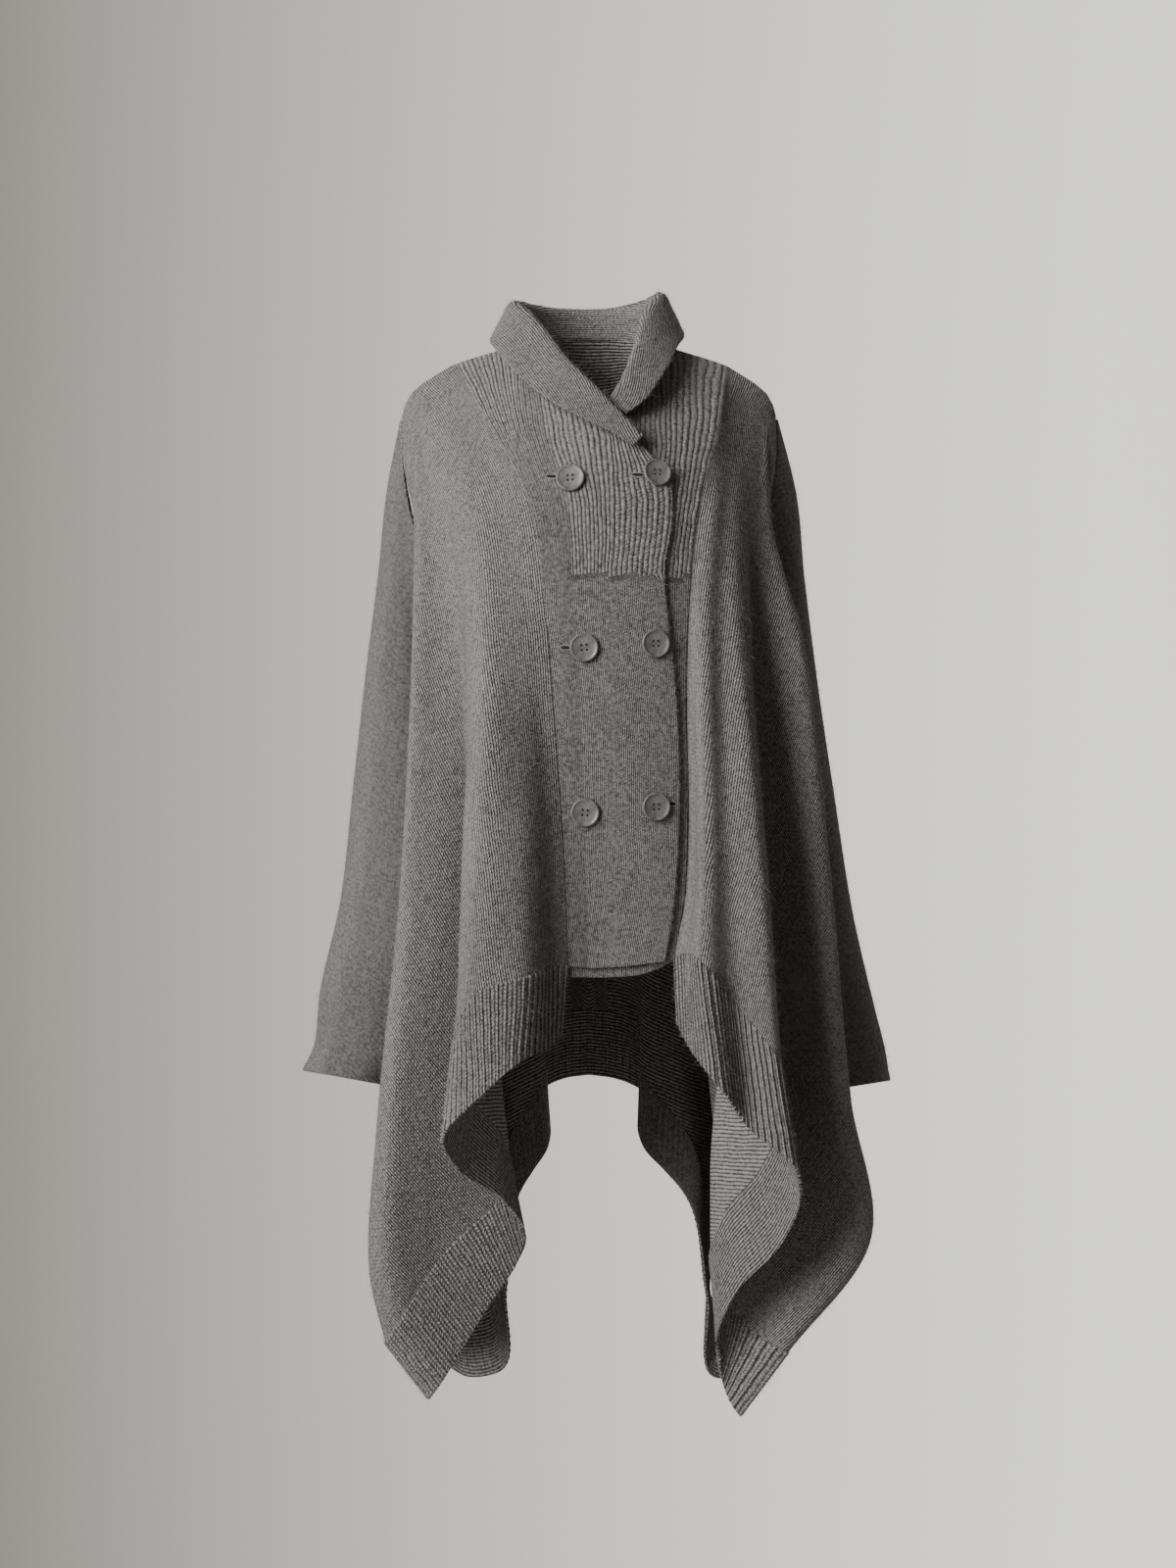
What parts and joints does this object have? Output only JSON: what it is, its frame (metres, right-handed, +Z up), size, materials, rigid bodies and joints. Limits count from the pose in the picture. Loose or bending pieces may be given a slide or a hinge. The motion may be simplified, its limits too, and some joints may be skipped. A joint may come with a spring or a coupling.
{
  "type": "knitted wool cape coat",
  "caption": "Double-breasted knitted wool cape coat with a shawl collar, long sleeves and deep hanging corners, as worn.",
  "frame": {"origin": "middle of the neck base, where the wearer's shoulders carry the coat", "axes": "+Z up, -Y out of the front of the coat, +X to the wearer's left"},
  "size_m": [0.6026, 0.3559, 1.1424],
  "materials": {
    "wool_knit": "heathered grey wool and mohair knit with a soft halo",
    "wool_rib": "the same yarn in 2 by 2 rib",
    "horn_button": "satin grey horn"
  },
  "bodies": {
    "root": {"front_right": "wool_knit", "front_left": "wool_knit", "wing_right": "wool_knit", "wing_left": "wool_knit", "back": "wool_knit", "band_right": "wool_rib", "band_left": "wool_rib", "band_back": "wool_rib", "sleeve_right": "wool_knit", "sleeve_left": "wool_knit", "collar": "wool_knit", "button_1": "horn_button", "button_2": "horn_button", "button_3": "horn_button", "button_4": "horn_button", "button_5": "horn_button", "button_6": "horn_button"}
  },
  "joints": []
}
